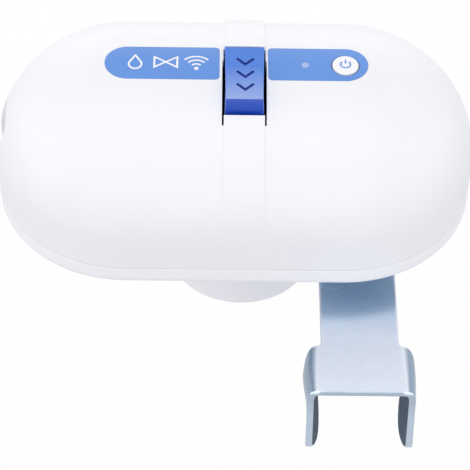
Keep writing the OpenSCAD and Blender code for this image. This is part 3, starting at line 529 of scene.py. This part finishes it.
def fork_pattern():
    """Outline of the flat sheet: across it from the arm's middle, and along it from the drive's axis."""
    half, front, rear = ARM_W / 2, -ARM_LEN, EAR_LEN - ARM_LEN
    back = rear - SHOULDER_DIP
    step = SHEET_STEP
    right = line((0, front), (PATTERN_HALF - EAR_FRONT_R, front), step=step)
    right += arc((PATTERN_HALF - EAR_FRONT_R, front + EAR_FRONT_R), EAR_FRONT_R, -90, 0, step)
    right += arc((PATTERN_HALF - EAR_BACK_R, back - EAR_BACK_R), EAR_BACK_R, 0, 90, step)
    right += line((PATTERN_HALF - EAR_BACK_R, back), (half + SHOULDER_W, back), step=step)
    for point in line((half + SHOULDER_W, 0), (half + SHOULDER_R, 0), step=step):
        share = (point.x - half - SHOULDER_R) / (SHOULDER_W - SHOULDER_R)
        dip = SHOULDER_DIP * (1 - math.cos(math.pi * share ** SHOULDER_EASE)) / 2
        right.append(Vector((point.x, rear - dip)))
    right += arc((half + SHOULDER_R, rear + SHOULDER_R), SHOULDER_R, 270, 180, step)
    right += line((half, rear + SHOULDER_R), (half, 0), step=step)
    right += arc((0, 0), half, 0, 90, step)
    whole = right + [Vector((-p.x, p.y)) for p in reversed(right)]
    return [p for p, q in zip(whole, whole[1:] + whole[:1]) if (p - q).length > LEAST_STEP]


def bent(point, depth):
    """Where a point of the flat sheet lies once the ears are bent down, at a depth below its upper face."""
    back = min(1, (point.y + ARM_LEN) / EAR_LEN)
    side = -1 if point.x < 0 else 1
    wider = 1 + BEND_WIDER * back ** 2
    start = ARM_W / 2 + EAR_STEP - EAR_NEARER - BEND_IN * back ** 2
    across, down = abs(point.x), depth
    past = across - start
    if past > 0:
        bow, toe, splay = EAR_FORM[side]
        place = min(1, past / BEND_LEN / wider) * (len(BEND) - 1)
        low = min(int(place), len(BEND) - 2)
        _, out, fall, angle = (a + (b - a) * (place - low) for a, b in zip(BEND[low], BEND[low + 1]))
        out, fall = out * wider, fall + max(0, past - BEND_LEN * wider)
        bow *= math.sin(math.pi * back) * min(1, fall / BEND_DROP)
        toe *= (1 - (1 - back) ** TOE_BACK_EASE) * (fall / EAR_H) ** TOE_DOWN_EASE
        across = start + out - depth * math.sin(angle) + bow - toe + splay * fall / EAR_H
        down = fall + depth * math.cos(angle)
    return Vector((DRIVE_X + side * across, point.y, FORK_TOP - down)) * MM


def fork_sheet():
    """The fork's sheet: rounded walls round its outline, holes for the hub, and an upper and a lower face."""
    outline = fork_pattern()
    closed = outline + outline[:1]
    work = bmesh.new()

    def inset(distance):
        return [a for a, b in rims(closed, 2 * distance)[0]]

    def ring(points, depth):
        return [work.verts.new(bent(p, depth)) for p in points]

    def wall(rings, material):
        for upper, lower in zip(rings, rings[1:]):
            for i in range(len(upper)):
                k = (i + 1) % len(upper)
                work.faces.new((upper[i], lower[i], lower[k], upper[k])).material_index = material

    profile = []
    for k in range(SHEARED_STEPS + 1):
        angle = math.radians(90 * k / SHEARED_STEPS)
        profile.append((SHEARED_R * (1 - math.sin(angle)), SHEARED_R * (1 - math.cos(angle))))
    profile += [(distance, SHEET_T - depth) for distance, depth in reversed(profile)]
    edge = [ring(inset(distance), depth) for distance, depth in profile]
    wall(edge, EDGE)

    places = [(0, 0)]
    for k in range(SCREWS):
        turn = math.radians(90 + k * 360 / SCREWS)
        places.append((SCREW_CIRCLE / 2 * math.cos(turn), SCREW_CIRCLE / 2 * math.sin(turn)))
    holes = [arc(place, (SCREW_HOLE_D if k else SEAT_D) / 2, 0, 360, SHEET_STEP)[:-1]
             for k, place in enumerate(places)]
    hole_rings = [[ring(hole, 0), ring(hole, SHEET_T)] for hole in holes]
    for rings in hole_rings:
        wall(rings[::-1], EDGE)

    # Faces between the outline and the holes, over a grid of inner points
    loops = [inset(SHEARED_R)] + holes
    border = [p for loop in loops for p in loop]
    near = KDTree(len(border))
    for i, p in enumerate(border):
        near.insert((*p, 0), i)
    near.balance()
    rows = [-ARM_LEN + SHEET_STEP * k for k in range(round((ARM_LEN + ARM_W / 2) / SHEET_STEP))]
    reach = round(PATTERN_HALF / SHEET_STEP)
    columns = [SHEET_STEP * k for k in range(-reach, reach + 1)]
    grid = [Vector((x, y)) for y in rows for x in columns if near.find((x, y, 0))[2] > SHEET_STEP / 2]
    ties, first = [], 0
    for loop in loops:
        ties.append([first + i for i in range(len(loop))])
        first += len(loop)
    points, _, faces, origin, _, _ = delaunay_2d_cdt(border + grid, [], ties, INSIDE_WITH_HOLES, SAME_POINT)
    upper_rings = [edge[0]] + [rings[0] for rings in hole_rings]
    lower_rings = [edge[-1]] + [rings[1] for rings in hole_rings]
    for depth, border_rings, flip in ((0, upper_rings, False), (SHEET_T, lower_rings, True)):
        known = [v for one in border_rings for v in one]
        corners = {}
        for i in {i for face in faces for i in face}:
            old = [s for s in origin[i] if s < len(known)]
            corners[i] = known[old[0]] if old else work.verts.new(bent(points[i], depth))
        for face in faces:
            made = work.faces.new([corners[i] for i in (face[::-1] if flip else face)])
            # Painted shade: lower faces beyond the bends, the ears' inner faces, take the dark inside
            # material
            from_middle = sum(abs(points[i].x) for i in face) / len(face)
            inner = flip and from_middle > ARM_W / 2 + EAR_STEP + BEND_LEN
            made.material_index = INSIDE if inner else SHEET
    piece = added("fork_sheet", to_mesh(work, "fork_sheet"), finishes["zinc"], ear_inside_shade, sheared_edge_with_highlights)
    stand_for(piece, "handle_fork")


fork_sheet()


# Rounded copies of other CAD pieces

# Narrowing of the lever on each side, draft that narrows its front top more, and how far that edge is lower
# and the whole front further back
LEVER_SLIM, LEVER_DRAFT, LEVER_DROP, LEVER_SET_BACK = 0.05, 0.4, 1.2, 0.8
# Roundings, in millimetres, and how near to the rim's height an edge of the rim lies
LEVER_ROUNDING, BUTTON_ROUNDING = 0.3, 0.15
RIM_LOW_ROUNDING, RIM_HIGH_ROUNDING = 1.0, 0.22
RIM_NEAR = 0.02
# The drafted faces of the lever that are flat within this angle, in degrees, are joined again
DRAFTED_FLAT = 0.1


def lever_moulding():
    """The lever with drafted sides that lean in towards its front edge."""
    work = welded("release_lever")
    for face in work.faces:
        # Painted shade: faces that look forward take the darker front material
        face.material_index = 1 if face.normal.y < -MAINLY_ALONG else 0
    for vert in work.verts:
        x, y, z = vert.co / MM
        forward = min(1, max(0, (LEVER_BACK_Y - y) / (LEVER_BACK_Y - LEVER_FRONT_Y)))
        height = min(1, max(0, (z - LEVER_LOW) / (LEVER_HIGH - LEVER_LOW)))
        x -= math.copysign(LEVER_SLIM + LEVER_DRAFT * forward * height, x)
        y += LEVER_SET_BACK * forward
        z -= LEVER_DROP * forward * height
        vert.co = Vector((x, y, z)) * MM
    bmesh.ops.triangulate(work, faces=[f for f in work.faces if abs(f.normal.x) > LOOKS_ALONG])
    bmesh.ops.dissolve_limit(work, angle_limit=math.radians(DRAFTED_FLAT), verts=[], edges=work.edges)
    work.normal_update()
    bevel(work, LEVER_ROUNDING, steps=2)
    bmesh.ops.triangulate(work, faces=work.faces)
    mesh = to_mesh(work, "lever_moulding")
    piece = added("lever_moulding", mesh, finishes["lever_blue"], lever_front_shade, lever_groove_shade)
    return stand_for(piece, "release_lever")


def button_cap():
    work = welded("set_button")
    bevel(work, BUTTON_ROUNDING, steps=2)
    stand_for(added("button_cap", to_mesh(work, "button_cap"), finishes["button_white"]), "set_button")


def base_moulding():
    """The base with a soft lower rim and a fine upper rim edge."""
    work = welded("lower_base", walls_only=True)
    bevel(work, RIM_LOW_ROUNDING, steps=4, chosen=lambda z: abs(z - RIM_LOW) < RIM_NEAR)
    bevel(work, RIM_HIGH_ROUNDING, steps=2, chosen=lambda z: abs(z - RIM_HIGH) < RIM_NEAR)
    stand_for(added("base_moulding", to_mesh(work, "base_moulding"), finishes["base_white"]), "lower_base")


GASKET_PROUD = 0.5


def gasket_bead():
    """The seal pressed outwards by the closed housing, so that it nearly fills the seam."""
    work = welded("cover_gasket", walls_only=True)
    walls = [f for f in work.faces if abs(f.normal.z) < MAINLY_ALONG]
    moves = {}
    for face in walls:
        middle = face.calc_center_median()
        side = Vector((middle.x - max(min(middle.x, END_RIGHT * MM), END_LEFT * MM), middle.y, 0))
        if face.normal.dot(side) > 0:
            for vert in face.verts:
                moves.setdefault(vert, []).append(face.normal.copy())
    for vert, normals in moves.items():
        out = sum(normals, Vector()).normalized()
        vert.co += out * GASKET_PROUD * MM
    work.normal_update()
    stand_for(added("gasket_bead", to_mesh(work, "gasket_bead"), pale_silicone_painted_light), "cover_gasket")


lever = lever_moulding()
button_cap()
base_moulding()
gasket_bead()


# Signs drawn as strokes on a piece's surface

# Height above the whole part from which a sign's surface is looked for, in metres
LOOK_FROM = 0.2


def surface_of(mesh):
    return BVHTree.FromPolygons([v.co for v in mesh.vertices], [p.vertices for p in mesh.polygons])


def strokes(name, paths, width, place, surface, low, high, material):
    """Closed ribbons that follow a surface, from low to high above it, all in millimetres."""
    work = bmesh.new()

    def corner(point, height):
        x, y = (place[0] + point.x) * MM, (place[1] + point.y) * MM
        hit = surface.ray_cast(Vector((x, y, LOOK_FROM)), Vector((0, 0, -1)))[0]
        return work.verts.new((x, y, hit.z + height * MM))

    for path in paths:
        sides, closed = rims(path, width)
        rows = [[corner(a, high), corner(b, high), corner(b, low), corner(a, low)] for a, b in sides]
        pairs = list(zip(rows, rows[1:] + rows[:1] if closed else rows[1:]))
        for first, second in pairs:
            for k in range(4):
                work.faces.new((first[k], first[(k + 1) % 4], second[(k + 1) % 4], second[k]))
        if not closed:
            work.faces.new(rows[0][::-1])
            work.faces.new(rows[-1])
    bmesh.ops.recalc_face_normals(work, faces=work.faces)
    mesh = bpy.data.meshes.new(name)
    work.to_mesh(mesh)
    work.free()
    return added(name, mesh, material)


def engrave(piece, cutter):
    """Cuts strokes into a piece; the cut takes the cutter's material, which the piece has too."""
    cut = piece.modifiers.new("engraving", "BOOLEAN")
    cut.object = cutter
    cut.operation = "DIFFERENCE"
    cut.solver = "MANIFOLD"
    cut.material_mode = "TRANSFER"
    piece.modifiers.move(len(piece.modifiers) - 1, 0)
    ready = piece.evaluated_get(bpy.context.evaluated_depsgraph_get())
    piece.data = bpy.data.meshes.new_from_object(ready)
    piece.modifiers.clear()
    bpy.data.objects.remove(cutter)


# Three chevrons on the lever point to the end that is pressed
CHEVRON_W, CHEVRON_L, CHEVRON_STEP = 4.4, 2.2, 4.7
CHEVRON_STROKE, CHEVRON_DEPTH, CUTTER_TOP = 0.8, 0.3, 0.6
CHEVRON_PLACE = (0.2, -6.6)
chevrons = [line((-CHEVRON_W / 2, y + CHEVRON_L), (0, y), (CHEVRON_W / 2, y + CHEVRON_L))
            for y in (-CHEVRON_STEP, 0, CHEVRON_STEP)]
# The grooves take the darker groove material, which is painted shade
engrave(lever, strokes("lever_cutter", chevrons, CHEVRON_STROKE, CHEVRON_PLACE, surface_of(lever.data),
                       -CHEVRON_DEPTH, CUTTER_TOP, lever_groove_shade))


def drop(x, height):
    """A water drop: two thirds of a circle closed by two straight sides to a point."""
    r = height / 3
    round_part = arc((x, -height / 2 + r), r, 150, 390)
    tip = (x, height / 2)
    return line(round_part[-1], tip, round_part[0])[:-1] + round_part


def valve(x, half_w, half_h):
    """The drafting sign of a valve: two triangles that meet at their points."""
    return line((x - half_w, half_h), (x + half_w, -half_h), (x + half_w, half_h), (x - half_w, -half_h),
                (x - half_w, half_h))


WAVE_RADII = (1.6, 3.0, 4.4)
WAVE_DOT_R = 0.35


def waves(x, y):
    """Radio waves: three arcs over a dot."""
    return [arc((x, y), r, 45, 135) for r in WAVE_RADII] + [arc((x, y), WAVE_DOT_R, 0, 360)]


# Height of the print's lower and upper face above the surface that it is on
PRINT_LOW, PRINT_HIGH = 0.004, 0.03


def print_sign(name, paths, width, place, node, material):
    surface = surface_of(nodes[node].data)
    made = strokes(name, paths, width, place, surface, PRINT_LOW, PRINT_HIGH, material)
    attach(made, body_of(node))


# Signs on the left label: distance between them, sizes, width of the strokes, and where the middle one is
SIGN_STEP = 8
DROP_H = 5
VALVE_HALF_W, VALVE_HALF_H = 3, 1.9
WAVES_LOW = -2.2
LABEL_STROKE = 0.5
LABEL_PLACE = (-20.6, -0.4)
label_signs = [drop(-SIGN_STEP, DROP_H), valve(0, VALVE_HALF_W, VALVE_HALF_H)] + waves(SIGN_STEP, WAVES_LOW)
print_sign("label_sign", label_signs, LABEL_STROKE, LABEL_PLACE, "left_label", white_print)

# Standby mark on the button: radius of its open ring, ends of its stem, width of the strokes, and its place
STANDBY_R = 1.3
STEM_LOW, STEM_HIGH = 0.3, 1.75
BUTTON_STROKE = 0.42
BUTTON_PLACE = (26.4, -0.9)
standby = [arc((0, 0), STANDBY_R, -230, 50), line((0, STEM_LOW), (0, STEM_HIGH))]
print_sign("button_sign", standby, BUTTON_STROKE, BUTTON_PLACE, "set_button", blue_print)


# Stage, light and camera

def seen_directly(tree):
    """1 for what the camera sees itself, in a mirror or through glass, and 0 for light that bounces."""
    path = add_node(tree, "ShaderNodeLightPath")
    total = path.outputs["Is Camera Ray"]
    for ray in ("Is Glossy Ray", "Is Transmission Ray"):
        either = add_node(tree, "ShaderNodeMath", operation="MAXIMUM")
        tree.links.new(total, either.inputs[0])
        tree.links.new(path.outputs[ray], either.inputs[1])
        total = either.outputs[0]
    return total


FLOOR_Z = -120 * MM
FLOOR_SIZE = 3.0
FLOOR_BOUNCE = (0.54, 0.545, 0.575)
FLOOR_SEEN = (0.96, 0.96, 0.965)
# Share of white in the floor where it is seen, which leaves the rest for the object's shadow
FLOOR_WHITE = 0.9


def floor_material():
    """A pale floor: nearly white where it is seen, greyer in the light it throws back, clear from below."""
    made = bpy.data.materials.new("pale_floor")
    made.use_nodes = True
    tree = made.node_tree
    tree.nodes.clear()
    seen = seen_directly(tree)
    tone = add_node(tree, "ShaderNodeMix", data_type="RGBA")
    for target, colour in zip(rgba(tone.inputs), (FLOOR_BOUNCE, FLOOR_SEEN)):
        target.default_value = (*colour, 1)
    tree.links.new(seen, tone.inputs["Factor"])
    matt = add_node(tree, "ShaderNodeBsdfDiffuse")
    tree.links.new(rgba(tone.outputs)[0], matt.inputs["Color"])
    glow = add_node(tree, "ShaderNodeEmission")
    share = add_node(tree, "ShaderNodeMath", operation="MULTIPLY")
    share.inputs[1].default_value = FLOOR_WHITE
    tree.links.new(seen, share.inputs[0])
    both = add_node(tree, "ShaderNodeMixShader")
    tree.links.new(share.outputs[0], both.inputs["Fac"])
    tree.links.new(matt.outputs["BSDF"], both.inputs[1])
    tree.links.new(glow.outputs["Emission"], both.inputs[2])
    from_below = add_node(tree, "ShaderNodeMixShader")
    tree.links.new(add_node(tree, "ShaderNodeNewGeometry").outputs["Backfacing"], from_below.inputs["Fac"])
    tree.links.new(both.outputs["Shader"], from_below.inputs[1])
    tree.links.new(add_node(tree, "ShaderNodeBsdfTransparent").outputs["BSDF"], from_below.inputs[2])
    out = add_node(tree, "ShaderNodeOutputMaterial")
    tree.links.new(from_below.outputs["Shader"], out.inputs["Surface"])
    return made


def make_floor():
    half = FLOOR_SIZE / 2
    mesh = bpy.data.meshes.new("floor")
    corners = [(x, y, FLOOR_Z) for x, y in ((-half, -half), (half, -half), (half, half), (-half, half))]
    mesh.from_pydata(corners, [], [range(len(corners))])
    return added("floor", mesh, floor_material())


floor = make_floor()

SKY = (0.985, 0.985, 1.0)
SKY_STRENGTH = 0.75


def light_world():
    """Soft light from all round, and plain white where the background is seen."""
    world = bpy.data.worlds.new("studio")
    bpy.context.scene.world = world
    world.use_nodes = True
    tree = world.node_tree
    tree.nodes.clear()
    strength = add_node(tree, "ShaderNodeMapRange")
    strength.inputs["To Min"].default_value = SKY_STRENGTH
    strength.inputs["To Max"].default_value = 1.0
    tree.links.new(seen_directly(tree), strength.inputs["Value"])
    back = add_node(tree, "ShaderNodeBackground")
    back.inputs["Color"].default_value = (*SKY, 1)
    tree.links.new(strength.outputs["Result"], back.inputs["Strength"])
    out = add_node(tree, "ShaderNodeOutputWorld")
    tree.links.new(back.outputs["Background"], out.inputs["Surface"])


light_world()

LIGHT_AIM = Vector((0, 0, 0.04))


def softbox(name, azimuth, elevation, distance, width, height, level):
    """An area light, in degrees and metres; level is what it adds to a surface that faces it."""
    lamp = bpy.data.lights.new(name, "AREA")
    lamp.shape = "RECTANGLE"
    lamp.size = width
    lamp.size_y = height
    lamp.energy = level * math.pi * math.pi * distance ** 2
    made = bpy.data.objects.new(name, lamp)
    bpy.context.scene.collection.objects.link(made)
    turn, rise = math.radians(azimuth), math.radians(elevation)
    out = Vector((math.sin(turn) * math.cos(rise), -math.cos(turn) * math.cos(rise), math.sin(rise)))
    made.location = LIGHT_AIM + out * distance
    made.rotation_euler = out.to_track_quat("Z", "Y").to_euler()


softbox("key", azimuth=-8, elevation=72, distance=1.6, width=1.4, height=1.4, level=0.27)
fills = [("front_fill", 0, 9, 0.17), ("left_fill", -90, 9, 0.19), ("right_fill", 90, 9, 0.13),
         ("back_fill", 180, 12, 0.20)]
for name, azimuth, elevation, level in fills:
    softbox(name, azimuth, elevation, distance=1.8, width=2.0, height=0.5, level=level)

# Camera, as fitted to the photograph's outline; angles in degrees, lengths in millimetres
ELEVATION, YAW, ROLL = 47.7735, 0.7474, 1.1934
DISTANCE = 600.0
AIM_ABOVE_COLLAR = 20
SHIFT_X, SHIFT_Y = 2.1154, 26.8014
FOCAL_PER_DISTANCE = 3.691
IMAGE_SIDE = 470
SENSOR = 36


def place_camera():
    """A camera that looks at a point above the collar, moved aside and up in its own picture plane."""
    rise, yaw, roll = (math.radians(a) for a in (ELEVATION, YAW, ROLL))
    forward = Vector((math.sin(yaw) * math.cos(rise), math.cos(yaw) * math.cos(rise), -math.sin(rise)))
    level = Vector((math.cos(yaw), -math.sin(yaw), 0))
    above = level.cross(forward)
    right = level * math.cos(roll) + above * math.sin(roll)
    up = above * math.cos(roll) - level * math.sin(roll)
    aim = Vector((0, 0, COLLAR_H + AIM_ABOVE_COLLAR))
    place = aim - forward * DISTANCE - right * SHIFT_X - up * SHIFT_Y
    data = bpy.data.cameras.new("camera")
    data.sensor_width = SENSOR
    data.lens = FOCAL_PER_DISTANCE * DISTANCE / IMAGE_SIDE * SENSOR
    made = bpy.data.objects.new("camera", data)
    bpy.context.scene.collection.objects.link(made)
    axes = Matrix((right, up, -forward)).transposed().to_4x4()
    made.matrix_world = Matrix.Translation(place * MM) @ axes
    bpy.context.scene.camera = made


place_camera()
bpy.context.scene.view_settings.view_transform = "Standard"
